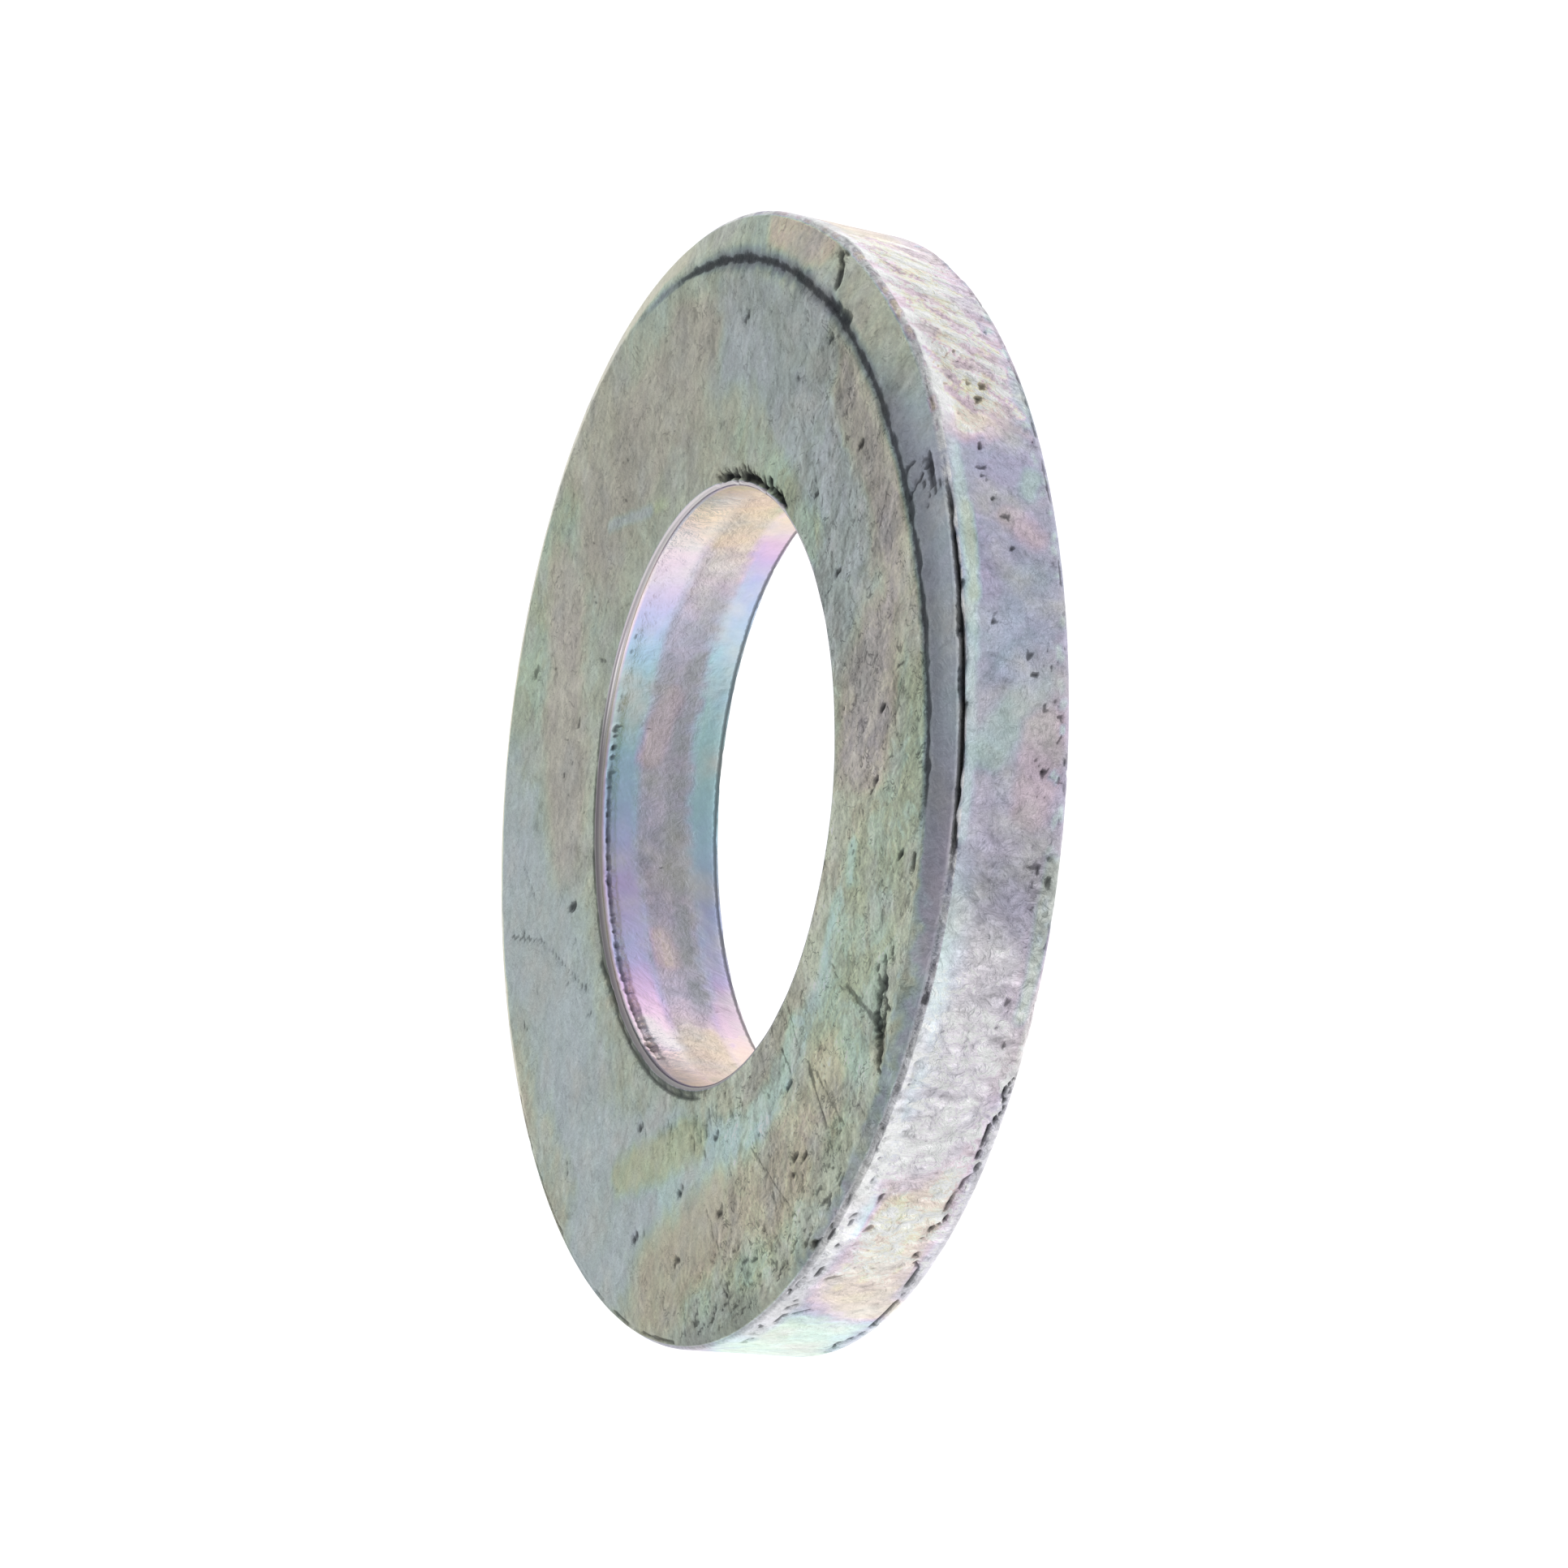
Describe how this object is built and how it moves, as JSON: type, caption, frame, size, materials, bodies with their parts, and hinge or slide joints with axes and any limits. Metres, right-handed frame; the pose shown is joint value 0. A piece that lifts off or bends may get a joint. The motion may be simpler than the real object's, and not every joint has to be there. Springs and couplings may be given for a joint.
{
  "type": "flat washer",
  "caption": "Chamfered flat steel washer with a rainbow-passivated zinc finish: a plain ring with its upper outer edge chamfered and a clearance bore for an M6 screw.",
  "frame": {"origin": "centre of the plain bottom face, on the bore's axis", "axes": "+Z along the bore's axis, out of the chamfered face; +X towards the widest part of the off-centre chamfer"},
  "size_m": [0.012, 0.012, 0.0014],
  "materials": {
    "zinc_plated_steel": "satin bright zinc plate with a clear iridescent passivation, worn and nicked at the edges"
  },
  "bodies": {
    "root": {"washer": "zinc_plated_steel"}
  },
  "joints": []
}
